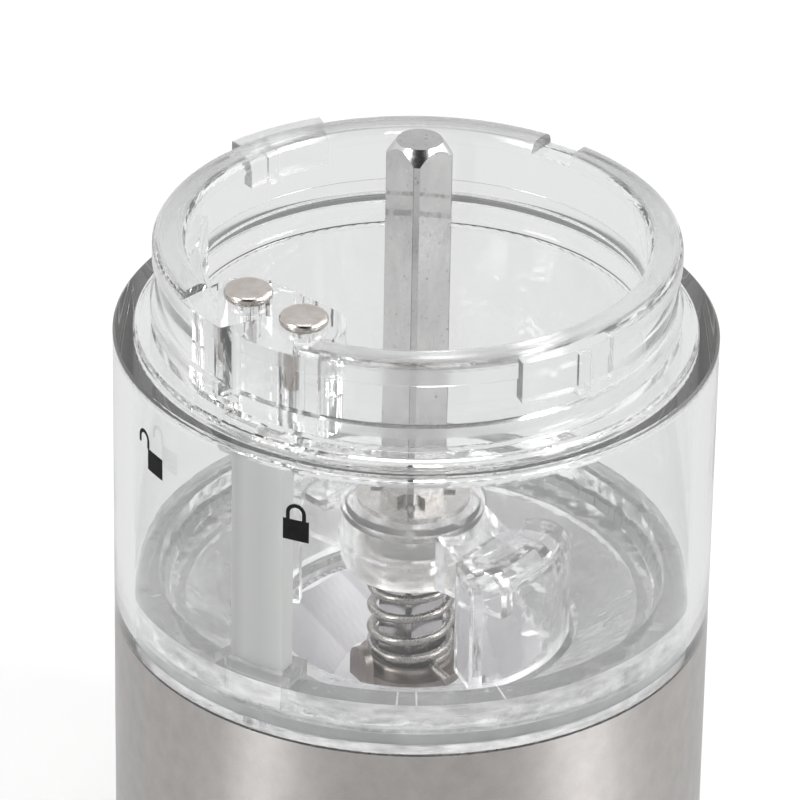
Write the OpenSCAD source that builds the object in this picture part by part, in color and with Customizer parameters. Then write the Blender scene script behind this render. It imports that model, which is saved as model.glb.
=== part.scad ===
// Lower body of a battery spice grinder: clear refill chamber with an open neck, steel sleeve,
// ceramic mill on a square drive shaft, and a light at the base fed by two contact pins.
// Millimetres, +Z up. The origin is the centre of the base, and the view from the front looks along +Y.

/* [Body] */
// Outside diameter of the body
body_d = 60; // [56:0.5:72]
// Height of the base ring below the steel sleeve
base_h = 4; // [3:0.5:8]
// Height of the visible steel sleeve
sleeve_h = 32.6; // [30:0.5:50]
// Sheet thickness of the steel sleeve
sleeve_t = 0.6; // [0.4:0.1:1]
// Height of the clear window between sleeve and shoulder
window_h = 31.4; // [28:0.5:60]

/* [Chamber] */
// Wall thickness of the clear chamber at the window
wall_t = 2; // [1.8:0.1:2.4]
// Thickness of the shoulder
shoulder_t = 1.4; // [1.2:0.1:3]
// Radius of the rounded inside corner under the shoulder
shoulder_fillet = 0.5; // [0.3:0.1:1.5]
// Height of the neck above the shoulder
neck_h = 10.2; // [9:0.1:16]
// Outside diameter of the neck below its lip
neck_d = 51.6; // [50:0.1:53]
// Inside diameter of the neck
neck_bore = 45.6; // [44:0.1:47]
// How far the lip stands out from the neck
lip_out = 0.3; // [0.1:0.1:1]
// Height of the lip
lip_h = 2.4; // [2:0.1:4]
// Rounding of the rim's edges
rim_round = 1; // [0.4:0.1:1.2]
// Diameter of the raised step at the root of the neck
step_d = 56; // [54.5:0.1:58]
// Height of the raised step
step_h = 0.6; // [0.3:0.1:1]
// Height above the shoulder of the guide bead
bead_z = 1.9; // [1.5:0.1:4]
// Height of the guide bead
bead_h = 1.3; // [0.8:0.1:2]
// How far the guide bead stands out from the neck
bead_out = 0.5; // [0.2:0.1:1]

/* [Bayonet lugs] */
// Direction of the front lug; the other is opposite
lug_angle = -57; // [-80:1:-20]
// Angle that one lug spans
lug_span = 22; // [12:1:30]
// How far a lug stands out from the neck
lug_out = 1.4; // [0.6:0.1:2]
// Height of a lug
lug_h = 4.6; // [3:0.1:6]
// Angle that the stop rib on a lug spans
lug_rib_span = 3; // [2:0.5:5]
// How far the stop rib stands out from the lug
lug_rib_out = 0.3; // [0.1:0.1:1]
// Direction of the index notch in the rim
notch_angle = 54.5; // [20:0.5:90]
// Width of the index notch
notch_w = 4.6; // [2:0.1:8]
// Depth of the index notch
notch_depth = 1.3; // [0.8:0.1:3]

/* [Contact boss] */
// Direction of the boss that holds the two contact pins
boss_angle = -133; // [-150:1:-120]
// Distance of the pins from the axis of the body
pin_r = 20.2; // [19:0.1:20.4]
// Distance between the two pins
pin_pitch = 7.5; // [6.5:0.1:9]
// Diameter of the column round each pin
boss_d = 8.2; // [7:0.1:9]
// How far the boss lies below the rim
boss_drop = 0.9; // [0.5:0.1:2]
// Diameter of a pin's head
pin_head_d = 4.8; // [4:0.1:5.4]
// Thickness of a pin's head
pin_head_t = 1.1; // [0.8:0.1:1.4]
// Diameter of a pin's shank
pin_shank_d = 2.4; // [1.6:0.1:3]
// Length of a pin's shank
pin_shank_h = 6; // [4:0.1:7]
// Angle of the thick wall that runs on from the boss
web_span = 52; // [20:1:60]
// How far that thick wall stands in from the neck
web_in = 1.3; // [0.6:0.1:2]

/* [Wiring] */
// Direction of the wire channel
channel_angle = -123; // [-126:0.5:-116]
// Width of the wire channel
channel_w = 5.8; // [5.2:0.1:7]
// Depth of the wire channel
channel_depth = 2; // [1.9:0.1:2.2]
// Wall of the wire channel
channel_t = 0.4; // [0.35:0.05:0.5]
// Outer wall of the socket that holds the channel's foot
socket_wall = 1; // [0.8:0.1:1.1]
// Height of the socket above the funnel's rim
socket_h = 1.2; // [0.6:0.1:2]
// Depth of the channel's foot below the funnel's rim
foot_depth = 3; // [1:0.1:3.2]
// Angle that the channel's tongue in the shoulder spans
tongue_span = 8; // [5:0.5:9]
// Height of the window where the leads enter the channel
channel_window = 4; // [3:0.1:6]
// Diameter of a lead
lead_d = 0.75; // [0.6:0.05:0.8]
// Length of a lead's bend
lead_bend = 1.4; // [1:0.1:1.8]
// Distance between the leads in the channel
lead_pitch = 1.7; // [1.6:0.1:2]
// Diameter of the lamp at the base
led_d = 5; // [3:0.1:5]
// Distance between the lamp's two legs
led_leg_pitch = 2.5; // [2.2:0.1:2.6]
// Distance of the lamp from the axis of the body
led_r = 21.5; // [21:0.1:22]
// Height of the lamp's dome above the table
lamp_recess = 0.6; // [0.3:0.1:1.5]
// Thickness of the lamp's circuit board
board_t = 1.4; // [1:0.1:1.6]

/* [Funnel] */
// Depth of the funnel's rim below the shoulder
funnel_depth = 26.3; // [25.5:0.1:28]
// Width of the funnel's flat rim
funnel_rim_w = 2.4; // [2.2:0.1:2.6]
// Thickness of the funnel's floor
funnel_t = 1.8; // [1.4:0.1:2.4]
// Drop from the rim to the outer edge of the floor
funnel_wall_h = 2.6; // [2:0.1:3.4]
// Drop of the sloping floor from its outer edge to the mouth
funnel_slope_h = 4.1; // [3:0.1:4.4]
// Ledge that the funnel's mouth forms over the outer burr
mouth_ledge = 1.2; // [0.8:0.1:1.8]
// Section of the sealing ring
seal_d = 1.2; // [0.8:0.1:1.2]

/* [Mill] */
// Outside diameter of the ceramic outer burr
burr_d = 29.2; // [28.4:0.1:30]
// Height of the outer burr
burr_h = 14.2; // [13:0.1:15]
// Wall of the sleeve that holds the outer burr
burr_sleeve_t = 1.8; // [1.4:0.1:2.2]
// Wall of the outer burr at its lower edge
burr_wall = 1.7; // [1.4:0.1:2.2]
// How far the outer burr's throat stands in from its lower edge
burr_throat = 1.8; // [1.5:0.1:2.1]
// Height of the fine teeth
fine_h = 4; // [3:0.1:4.6]
// Number of fine teeth on each burr
fine_teeth = 36; // [24:2:44]
// Number of coarse flights on each burr
coarse_teeth = 6; // [4:1:8]
// Depth of the fine teeth
fine_depth = 0.6; // [0.3:0.05:0.7]
// Depth of the coarse flights
coarse_depth = 1.3; // [0.8:0.1:1.6]
// Twist of the coarse flights
flight_twist = 34; // [10:1:45]
// Gap between the burrs at the coarsest setting, measured across the axis
burr_gap = 0.95; // [0.9:0.05:1.2]
// Height of the inner burr
rotor_h = 11; // [10:0.1:11.4]
// How far the inner burr narrows from its fine teeth to its top
rotor_taper = 3.8; // [3.2:0.1:4.4]

/* [Drive shaft] */
// Side of the square drive shaft
shaft_side = 5; // [4.6:0.1:5.2]
// Turn of the square shaft at rest
shaft_turn = 41; // [0:1:90]
// Diameter to which the shaft's corners are turned
shaft_corner_d = 6.5; // [6.2:0.1:6.9]
// How far the shaft stands above the rim of the neck
shaft_above_rim = 10.4; // [4:0.1:20]
// Height of the cone at the shaft's top
shaft_cone_h = 1.5; // [0.8:0.1:2]
// How far the cone narrows the shaft's end
shaft_cone_in = 1; // [0.5:0.1:1.2]
// Diameter of the threaded lower end
thread_d = 4.8; // [4:0.1:5]
// Pitch of the thread, the lift for one turn of the knob
thread_pitch = 0.8; // [0.5:0.05:0.85]
// Diameter of the push-on retaining washer
clip_d = 11.4; // [10:0.1:13]
// Thickness of the retaining washer
clip_t = 0.6; // [0.4:0.1:1]

/* [Bridge] */
// Direction of the front leg; the other is opposite
leg_angle = -38; // [-60:1:-10]
// Angle that one leg spans
leg_span = 60; // [40:1:70]
// Radius of the legs' outer face
leg_r = 16.1; // [15.8:0.1:16.5]
// Wall of a leg
leg_t = 1.8; // [1.2:0.1:2.4]
// Depth of a leg's hollow box across its wall
leg_depth = 4.6; // [4:0.1:5]
// Radius of a leg's rounded upper edge
leg_round = 3; // [2.5:0.1:3.6]
// Height of a leg above the funnel's mouth
leg_h = 12.6; // [11:0.1:13.4]
// Diameter of the hub
hub_d = 14.5; // [13.5:0.1:16]
// Height of the hub
hub_h = 8; // [7:0.1:9]
// Depth of the hub's top below the shoulder
hub_depth = 19.1; // [18.6:0.1:20]
// Outer wall of the hub
hub_wall = 1.25; // [1:0.05:1.5]
// Wall of the tube that guides the shaft
bearing_wall = 1.15; // [1:0.05:1.2]
// Width of the arm between hub and leg
arm_w = 8; // [6:0.1:9]
// Wall of the hollow arm
arm_t = 1.5; // [1.2:0.1:2]

/* [Spring and stirrer] */
// Outside diameter of the spring
spring_d = 9; // [8.8:0.1:9.4]
// Diameter of the spring's wire
wire_d = 0.95; // [0.7:0.05:1]
// Number of turns between the closed ends
spring_turns = 3; // [2:0.5:3.5]
// Number of closed turns at each end
closed_turns = 0.75; // [0.5:0.25:1]
// Radius of the bend at the spring's lower end
tail_bend = 0.9; // [0.8:0.1:1.2]
// Length of the spring's straight end
tail_length = 2; // [1:0.1:2.4]
// Sheet thickness of the cup above the spring
spring_washer_t = 0.5; // [0.3:0.1:0.6]
// Height of the cup's wall inside the hub
spring_cup_h = 4; // [2:0.1:5]
// Thickness of the stirrer's sheet
stirrer_t = 1; // [0.6:0.1:1.2]
// Diameter of the stirrer's seat for the spring
stirrer_d = 11; // [10.4:0.1:11.6]
// Height of the bead under the spring's lower end
seat_bead_h = 0.9; // [0.5:0.1:1.1]
// Height of the stirrer's upturned wings
wing_h = 2; // [1.4:0.1:3]
// Direction of the wings
wing_turn = 31; // [0:1:90]
// Width of the wings
wing_w = 3.4; // [2.4:0.1:4.4]

/* [Adjusting knob] */
// Diameter of the adjusting knob
knob_d = 18; // [15:0.1:20]
// Height of the adjusting knob's grip
knob_h = 7; // [5:0.1:7.4]
// Number of grip flutes
knob_flutes = 18; // [12:1:24]
// Outside diameter of the brass nut in the knob
nut_d = 9; // [8:0.1:10]
// Thickness of the washer between knob and inner burr
knob_washer_t = 0.6; // [0.4:0.1:1]

/* [Base] */
// Diameter of the outlet in the base
outlet_d = 34; // [33.6:0.1:36]
// Thickness of the base ring's floor
floor_t = 2.4; // [2:0.1:3]
// Distance of the base screws from the axis of the body
base_screw_r = 21; // [20.8:0.1:21.2]
// Direction of the first of the three base screws
base_screw_angle = 75; // [70:1:82]
// Shank diameter of the screws
screw_d = 2.2; // [1.8:0.1:2.4]
// Head diameter of the screws
screw_head_d = 4; // [3.4:0.1:4.2]
// Length of the screws
screw_length = 8; // [6:0.1:9]

/* [Fits] */
// Gap between fixed parts that slide together
fit_gap = 0.1; // [0.05:0.01:0.15]
// Radial clearance of the shaft in its guide
running_gap = 0.08; // [0.03:0.01:0.1]
// Gap on each side of the shaft in a square hole that slides along it
slide_gap = 0.12; // [0.05:0.01:0.2]
// Facets of a full circle
$fn = 96; // [48:4:160]

/* [Hidden] */

// Heights and radii of the body
body_r = body_d / 2;
sleeve_top = base_h + sleeve_h;
shoulder_z = sleeve_top + window_h;
rim_z = shoulder_z + neck_h;
chamber_in_r = body_r - wall_t;
skirt_out_r = body_r - sleeve_t - fit_gap;
skirt_low = base_h + 4;
neck_r = neck_d / 2;
neck_in_r = neck_bore / 2;
lip_r = neck_r + lip_out;
under_shoulder = shoulder_z - shoulder_t;

// Contact boss, worked out in a frame turned so that +X points from the axis to the boss
boss_top = rim_z - boss_drop;
boss_low = shoulder_z - 0.85;
pin_out = sqrt(pow(pin_r, 2) - pow(pin_pitch / 2, 2));
pin_bore_d = pin_shank_d + 2 * fit_gap;
pin_low = boss_top - pin_shank_h;

// Funnel and mill
funnel_top = shoulder_z - funnel_depth;
funnel_out_r = chamber_in_r - fit_gap;
bowl_r = funnel_out_r - funnel_rim_w;
floor_edge = funnel_top - funnel_wall_h;
mouth_r = burr_d / 2 - mouth_ledge;
mouth_z = floor_edge - funnel_slope_h;
burr_r = burr_d / 2;
burr_low_r = burr_r - burr_wall;
burr_throat_r = burr_low_r - burr_throat;
burr_sleeve_r = burr_r + fit_gap + burr_sleeve_t;
burr_top = mouth_z - funnel_t;
burr_low = burr_top - burr_h;
seal_z = floor_edge - 1.3;
pillar_d = screw_head_d + 1;
pillar_low = floor_t;
ear_r = burr_sleeve_r + 1.5;
ear_d = 4.6;
ear_h = 8;
retainer_t = 2.4;
// The sleeve ends short of the burr's foot, so that the retainer clamps the burr
clamp_gap = 0.3;

// Rotor, spring and knob
bore_slope = (burr_low_r - burr_throat_r) / fine_h;
rotor_low = burr_low - 1;
rotor_top = rotor_low + rotor_h;
// One and a half turns of the knob close the mill
lift_max = 1.5 * thread_pitch;
rotor_low_r = burr_low_r - burr_gap + bore_slope;
rotor_mid_r = rotor_low_r - bore_slope * fine_h;
rotor_top_r = rotor_mid_r - rotor_taper;
hub_top = shoulder_z - hub_depth;
hub_low = hub_top - hub_h;
hub_r = hub_d / 2;
leg_roof = mouth_z + leg_h;
guide_r = shaft_corner_d / 2 + running_gap;
stirrer_top = rotor_top + stirrer_t;
spring_top = hub_low - spring_washer_t;
spring_r = (spring_d - wire_d) / 2;
shaft_top = rim_z + shaft_above_rim;
knob_top = rotor_low - knob_washer_t;
knob_low = knob_top - knob_h;
shaft_low = knob_low + 1;
square_low = knob_top + lift_max + 0.9;
thread_r = thread_d / 2;

// Coil of the spring: rings along it, and half the height of its six-sided wire
spring_rings = 8;
wire_sides = 6;
wire_flat = wire_d / 2 * sin(60);
total_turns = spring_turns + 2 * closed_turns;
ring_count = ceil(total_turns * spring_rings);
// The lower end turns out over a corner of the shaft
tail_angle = shaft_turn - 90;

// Wiring
channel_out_r = funnel_out_r - socket_wall;
channel_in_r = channel_out_r - channel_depth;
channel_half = asin(channel_w / 2 / channel_out_r);
channel_hollow_half = channel_half - channel_t * 180 / (PI * channel_out_r);
channel_top = under_shoulder - shoulder_fillet;
tongue_angle = channel_angle - channel_half;
tongue_in_r = channel_in_r - 0.8;
tongue_out_r = channel_out_r - channel_t;
tongue_top = shoulder_z + step_h - 0.3;
lead_r = (channel_out_r + channel_in_r) / 2;
lead_half = asin(lead_pitch / 2 / lead_r);
board_low = base_h + 4.6;
board_top = board_low + board_t;
board_in_r = led_r - 2.9;
board_out_r = chamber_in_r - 0.5;
board_half = 13;
socket_span = 5;

// Colours
clear_tint = [0.9, 0.93, 0.94, 0.35];
steel_tint = [0.72, 0.7, 0.69];
bright_steel = [0.8, 0.8, 0.81];
spring_steel = [0.55, 0.53, 0.5];
nickel = [0.78, 0.74, 0.71];
ceramic_white = [0.93, 0.92, 0.95];

// Points on an arc, in degrees
function arc(cx, cz, r, from, to, steps = 6) =
    [for (i = [0 : steps]) let (a = from + (to - from) * i / steps) [cx + r * cos(a), cz + r * sin(a)]];

// A ring about the body's axis
module tube(r_out, r_in, low, high)
    translate([0, 0, low])
        difference() {
            cylinder(r = r_out, h = high - low);
            translate([0, 0, -1])
                cylinder(r = r_in, h = high - low + 2);
        }

// A piece of a ring between two radii, centred on a direction
module ring_piece(r_in, r_out, middle, span, low, high)
    rotate([0, 0, middle - span / 2])
        translate([0, 0, low])
            rotate_extrude(angle = span)
                translate([r_in, 0])
                    square([r_out - r_in, high - low]);

// A stretch of a revolved form, centred on a direction
module sector(middle, span)
    rotate([0, 0, middle - span / 2])
        rotate_extrude(angle = span)
            children();

// ---------- chamber ----------

// Half section of the clear chamber, from the skirt inside the sleeve up to the rim
module chamber_section()
    polygon(concat(
        [[chamber_in_r, skirt_low], [skirt_out_r, skirt_low], [skirt_out_r, sleeve_top], [body_r, sleeve_top],
         [body_r, shoulder_z - 0.25], [body_r - 0.25, shoulder_z], [step_d / 2, shoulder_z]],
        arc(step_d / 2 - step_h, shoulder_z, step_h, 0, 90, 4),
        [[neck_r + 0.4, shoulder_z + step_h], [neck_r, shoulder_z + step_h + 0.4],
         [neck_r, shoulder_z + bead_z - 0.2], [neck_r + bead_out, shoulder_z + bead_z],
         [neck_r + bead_out, shoulder_z + bead_z + bead_h],
         [neck_r, shoulder_z + bead_z + bead_h + 0.2],
         [neck_r, rim_z - lip_h - lip_out], [lip_r, rim_z - lip_h]],
        arc(lip_r - rim_round, rim_z - rim_round, rim_round, 0, 90),
        arc(neck_in_r + rim_round, rim_z - rim_round, rim_round, 90, 180),
        [[neck_in_r, shoulder_z - 0.6]],
        arc(neck_in_r + shoulder_t - 0.6, shoulder_z - 0.6, shoulder_t - 0.6, 180, 270),
        arc(chamber_in_r - shoulder_fillet, under_shoulder - shoulder_fillet, shoulder_fillet, 90, 0)));

// Outline of the boss in its own frame: a column round each pin, carried out to the neck
module boss_outline()
    intersection() {
        circle(r = neck_r - 0.05);
        union() {
            for (side = [-1, 1])
                translate([pin_out, side * pin_pitch / 2])
                    circle(d = boss_d);
            translate([pin_out - boss_d / 2, -pin_pitch / 2])
                square([boss_d, pin_pitch]);
            translate([pin_out, -(pin_pitch + boss_d) / 2])
                square([neck_r - pin_out, pin_pitch + boss_d]);
        }
    }

// The groove between the two columns, open to the outside of the neck
module boss_groove()
    translate([0, 0, shoulder_z + 1.6])
        linear_extrude(neck_h)
            polygon([[pin_out + 2.6, 0], [lip_r + 2, -2.1], [lip_r + 2, 2.1]]);

// Outline of the thick inner wall that runs on from the boss, along +X and clockwise from it
module web_outline()
    difference() {
        intersection() {
            circle(r = neck_r - 0.5);
            polygon([[0, 0], [body_d, 0], [body_d * cos(web_span), -body_d * sin(web_span)]]);
        }
        circle(r = neck_in_r - web_in);
    }

module neck_lug(angle) {
    ring_piece(neck_in_r + 1, neck_r + lug_out, angle, lug_span, rim_z - lug_h, rim_z - 0.3);
    ring_piece(neck_in_r + 1, neck_r + lug_out + lug_rib_out, angle + 3, lug_rib_span,
               rim_z - lug_h - 0.5, rim_z - 0.6);
}

module chamber()
    color(clear_tint)
        difference() {
            union() {
                difference() {
                    rotate_extrude()
                        chamber_section();
                    rotate([0, 0, boss_angle])
                        translate([pin_out, -(pin_pitch + boss_d) / 2, boss_top])
                            cube([body_r, pin_pitch + boss_d, neck_h]);
                }
                neck_lug(lug_angle);
                neck_lug(lug_angle + 180);
                rotate([0, 0, boss_angle])
                    translate([0, 0, boss_low])
                        linear_extrude(boss_top - boss_low)
                            boss_outline();
                rotate([0, 0, boss_angle - 10])
                    translate([0, 0, boss_low + 0.2])
                        linear_extrude(boss_top - boss_low - 0.8)
                            web_outline();
            }
            ring_piece(tongue_in_r - fit_gap, tongue_out_r + fit_gap, tongue_angle, tongue_span + 0.5,
                       channel_top - 1, tongue_top + fit_gap);
            rotate([0, 0, boss_angle]) {
                boss_groove();
                for (side = [-1, 1])
                    translate([pin_out, side * pin_pitch / 2, boss_low - 3])
                        cylinder(d = pin_bore_d, h = neck_h + 6, $fn = 32);
            }
            rotate([0, 0, notch_angle])
                translate([neck_in_r - 1, -notch_w / 2, rim_z - notch_depth])
                    cube([neck_r - neck_in_r + 5, notch_w, notch_depth + 1]);
        }

// ---------- shell of the base ----------

module steel_sleeve()
    color(steel_tint)
        tube(body_r, body_r - sleeve_t, base_h, sleeve_top);

module base_screw_places()
    for (i = [0 : 2])
        rotate([0, 0, base_screw_angle + 120 * i])
            translate([base_screw_r, 0, 0])
                children();

module led_place()
    rotate([0, 0, channel_angle])
        translate([led_r, 0, 0])
            children();

// Floor, outer band under the sleeve, collar up to the chamber's skirt, and posts for the board
module base_ring()
    color([0.14, 0.14, 0.15])
        difference() {
            union() {
                rotate_extrude()
                    polygon([[outlet_d / 2, 0.6], [outlet_d / 2 + 0.6, 0], [body_r - 0.6, 0], [body_r, 0.6],
                             [body_r, base_h], [skirt_out_r, base_h], [skirt_out_r, skirt_low],
                             [chamber_in_r, skirt_low], [chamber_in_r, floor_t], [outlet_d / 2 + 1.2, floor_t],
                             [outlet_d / 2 + 1.2, floor_t + 1.2], [outlet_d / 2, floor_t + 1.2]]);
                for (side = [-1, 1])
                    rotate([0, 0, channel_angle + side * (board_half - 3)])
                        translate([board_out_r - 1.6, 0, floor_t - 0.5])
                            cylinder(d = 3, h = board_low - floor_t + 0.5, $fn = 32);
            }
            base_screw_places() {
                translate([0, 0, -1])
                    cylinder(d = screw_d + 2 * fit_gap, h = floor_t + 2, $fn = 32);
                translate([0, 0, -1])
                    cylinder(d = screw_head_d + 2 * fit_gap, h = 2.2, $fn = 32);
            }
            led_place()
                translate([0, 0, -1])
                    cylinder(d = led_d + 4 * fit_gap, h = floor_t + 4);
        }

// A pan-head screw standing head down at the origin, its shank upwards
module screw(length) {
    difference() {
        rotate_extrude($fn = 48)
            polygon([[0, 0], [screw_head_d / 2 - 0.5, 0], [screw_head_d / 2, 0.4], [screw_head_d / 2, 1.1],
                     [screw_d / 2, 1.1], [screw_d / 2, length - 0.8], [0.3, length], [0, length]]);
        for (turn = [0, 90])
            rotate([0, 0, turn])
                translate([-0.3, -1.1, -0.1])
                    cube([0.6, 2.2, 0.7]);
    }
}

module base_screws()
    color(bright_steel)
        base_screw_places()
            translate([0, 0, 0.1])
                screw(screw_length);

// ---------- funnel and mill ----------

// Half section of the funnel: rim, bowl, and the sleeve that holds the outer burr
module funnel_section() {
    bowl_low_r = bowl_r - 1.2;
    tube_r = bowl_r - 0.6;
    polygon([[funnel_out_r, funnel_top], [bowl_r, funnel_top], [bowl_low_r, floor_edge],
             [burr_sleeve_r + 0.4, mouth_z], [mouth_r + 0.6, mouth_z], [mouth_r, mouth_z - 0.6],
             [mouth_r, burr_top], [burr_r + fit_gap, burr_top], [burr_r + fit_gap, burr_low + clamp_gap],
             [burr_sleeve_r, burr_low + clamp_gap], [burr_sleeve_r, mouth_z - funnel_t - 0.6],
             [bowl_low_r - 1.2, floor_edge - funnel_t], [tube_r - funnel_t, skirt_low + 4],
             [tube_r, skirt_low + 4], [tube_r, seal_z - 2], [funnel_out_r, seal_z - 2],
             [funnel_out_r, seal_z - seal_d / 2], [funnel_out_r - seal_d + fit_gap, seal_z - seal_d / 2],
             [funnel_out_r - seal_d + fit_gap, seal_z + seal_d / 2], [funnel_out_r, seal_z + seal_d / 2]]);
}

module ear_places()
    for (i = [0 : 2])
        rotate([0, 0, base_screw_angle + 60 + 120 * i])
            translate([ear_r, 0, 0])
                children();

module funnel()
    color(clear_tint)
        difference() {
            union() {
                rotate_extrude()
                    funnel_section();
                intersection() {
                    base_screw_places()
                        translate([0, 0, pillar_low])
                            cylinder(d = pillar_d, h = floor_edge - pillar_low, $fn = 32);
                    rotate_extrude()
                        polygon([[burr_sleeve_r - 0.6, 0], [bowl_r, 0], [bowl_r, floor_edge - funnel_t / 2],
                                 [bowl_r - 1.8, floor_edge - funnel_t / 2],
                                 [burr_sleeve_r - 0.6, mouth_z - funnel_t / 2]]);
                }
                ear_places()
                    translate([0, 0, burr_low])
                        cylinder(d = ear_d, h = ear_h, $fn = 32);
                // Socket for the channel's foot
                sector(channel_angle, 2 * channel_half + socket_span)
                    polygon([[channel_in_r - 1, seal_z - 1.6], [funnel_out_r - seal_d - 0.2, seal_z - 1.6],
                             [funnel_out_r - seal_d - 0.2, funnel_top - 0.5],
                             [funnel_out_r - 0.1, funnel_top - 0.5], [funnel_out_r - 0.1, funnel_top + socket_h],
                             [channel_in_r - 1, funnel_top + socket_h]]);
            }
            // Seat for the channel's foot, and a way down for the two leads
            ring_piece(channel_in_r - fit_gap, channel_out_r + fit_gap, channel_angle, 2 * channel_half + 0.6,
                       funnel_top - foot_depth, funnel_top + socket_h + 1);
            for (side = [-1, 1])
                rotate([0, 0, channel_angle + side * lead_half])
                    translate([lead_r, 0, seal_z - 4])
                        cylinder(d = lead_d + 2 * fit_gap, h = funnel_top - seal_z + 2, $fn = 24);
            base_screw_places()
                translate([0, 0, pillar_low - 1])
                    cylinder(d = screw_d, h = screw_length + 0.5, $fn = 32);
            ear_places()
                translate([0, 0, burr_low - 1])
                    cylinder(d = screw_d, h = ear_h, $fn = 32);
        }

module seal_ring()
    color([0.85, 0.87, 0.88])
        tube(chamber_in_r, funnel_out_r - seal_d + fit_gap, seal_z - seal_d / 2, seal_z + seal_d / 2);

// Half section of a leg, from an inner radius out to its rounded outer edge
module leg_section(in_r, out_r, foot, roof, round_r)
    polygon(concat([[in_r, foot], [out_r, foot]], arc(out_r - round_r, roof - round_r, round_r, 0, 90),
                   [[in_r, roof]]));

// Radial section of an arm, from the hub over to a leg, less a wall all round
module arm_section(less = 0) {
    low = hub_low + 1.2;
    polygon([[hub_r - hub_wall, low - less], [leg_r - leg_t - 0.4, low - less],
             [leg_r - leg_t - 0.4, leg_roof - leg_round + 1.2 - less], [leg_r - leg_round, leg_roof - 0.3 - less],
             [leg_r - leg_round - 2, leg_roof - 0.6 - less], [hub_r + 1.6, leg_roof - 0.9 - less],
             [hub_r - hub_wall, hub_top - 0.6 - less]]);
}

// A slab across the arm's direction
module arm_slab(angle, width)
    rotate([0, 0, angle])
        translate([0, width / 2, 0])
            rotate([90, 0, 0])
                linear_extrude(width)
                    children();

// A hollow leg, open below and towards the shaft, and the hollow arm that joins it to the hub
module leg(angle) {
    hollow_span = leg_span - 12;
    difference() {
        sector(angle, leg_span)
            leg_section(leg_r - leg_depth, leg_r, mouth_z, leg_roof, leg_round);
        sector(angle, hollow_span)
            leg_section(leg_r - leg_depth - 1, leg_r - leg_t, mouth_z - 1, leg_roof - leg_t, leg_round - leg_t);
    }
    difference() {
        arm_slab(angle, arm_w)
            arm_section();
        difference() {
            arm_slab(angle, arm_w - 2 * arm_t)
                arm_section(arm_t);
            translate([0, 0, hub_low - 2])
                cylinder(r = hub_r - hub_wall / 2, h = hub_h + 4);
        }
    }
}

module mill_bridge()
    color(clear_tint)
        difference() {
            union() {
                rotate_extrude()
                    polygon(concat(
                        [[guide_r, hub_low], [guide_r + bearing_wall, hub_low],
                         [guide_r + bearing_wall, hub_top - 1.8], [hub_r - hub_wall, hub_top - 1.8],
                         [hub_r - hub_wall, hub_low + 0.4]],
                        arc(hub_r - 1.6, hub_low + 1.8, 1.6, -60, 0),
                        [[hub_r, hub_low + 3], [hub_r + 0.25, hub_low + 3.2], [hub_r + 0.25, hub_low + 3.8],
                         [hub_r, hub_low + 4], [hub_r, hub_top - 0.5], [hub_r - 0.5, hub_top], [guide_r, hub_top]]));
                leg(leg_angle);
                leg(leg_angle + 180);
            }
            translate([0, 0, hub_low - 1])
                cylinder(r = guide_r, h = hub_h + 2);
        }

// Star outline with teeth: tips on one radius and roots on another
module toothed(r_tip, r_root, teeth)
    polygon([for (i = [0 : 2 * teeth - 1]) let (a = 180 * i / teeth, r = i % 2 == 0 ? r_tip : r_root)
        [r * cos(a), r * sin(a)]]);

// A toothed cone frustum from one height and scale to another
module toothed_cone(r_tip, depth, teeth, low, high, r_end, twist = 0, layers = 1)
    translate([0, 0, low])
        linear_extrude(high - low, scale = r_end / r_tip, twist = twist, slices = layers)
            toothed(r_tip, r_tip - depth, teeth);

module outer_burr()
    color(ceramic_white)
        difference() {
            translate([0, 0, burr_low])
                cylinder(r = burr_r, h = burr_h);
            // Fine teeth below the throat, cut outwards from the bore
            toothed_cone(burr_low_r + fine_depth, fine_depth, fine_teeth, burr_low - 0.01, burr_low + fine_h,
                         burr_throat_r + fine_depth);
            // Coarse flights above it, opening to the mouth
            toothed_cone(burr_throat_r + fine_depth, coarse_depth * 0.4, coarse_teeth * 2, burr_low + fine_h - 0.01,
                         burr_top + 0.01, mouth_r, twist = -flight_twist, layers = 6);
        }

// Outline of the square bar with its turned corners, larger by a gap all round
module shaft_outline(gap = 0)
    rotate(shaft_turn)
        intersection() {
            square(shaft_side + 2 * gap, center = true);
            circle(d = shaft_corner_d + 2 * gap);
        }

module square_hole(low, high, gap = slide_gap)
    translate([0, 0, low])
        linear_extrude(high - low)
            shaft_outline(gap);

module inner_burr()
    color(ceramic_white)
        difference() {
            union() {
                toothed_cone(rotor_low_r, fine_depth, fine_teeth, rotor_low, rotor_low + fine_h, rotor_mid_r);
                toothed_cone(rotor_mid_r - fine_depth / 2, coarse_depth, coarse_teeth, rotor_low + fine_h - 0.01,
                             rotor_top, rotor_top_r, twist = flight_twist, layers = 6);
            }
            square_hole(rotor_low - 1, rotor_top + 1);
        }

module burr_retainer()
    color([0.2, 0.2, 0.21])
        difference() {
            union() {
                tube(burr_sleeve_r, burr_low_r + 0.6, burr_low - retainer_t, burr_low);
                ear_places()
                    translate([0, 0, burr_low - retainer_t])
                        cylinder(d = ear_d, h = retainer_t, $fn = 32);
            }
            translate([0, 0, burr_low - retainer_t - 1])
                cylinder(r = burr_low_r + 0.6, h = retainer_t + 2);
            ear_places()
                translate([0, 0, burr_low - retainer_t - 1])
                    cylinder(d = screw_d + 2 * fit_gap, h = retainer_t + 2, $fn = 32);
        }

module retainer_screws()
    color(bright_steel)
        ear_places()
            translate([0, 0, burr_low - retainer_t - 1.1])
                screw(screw_length);

// ---------- wiring ----------

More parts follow.
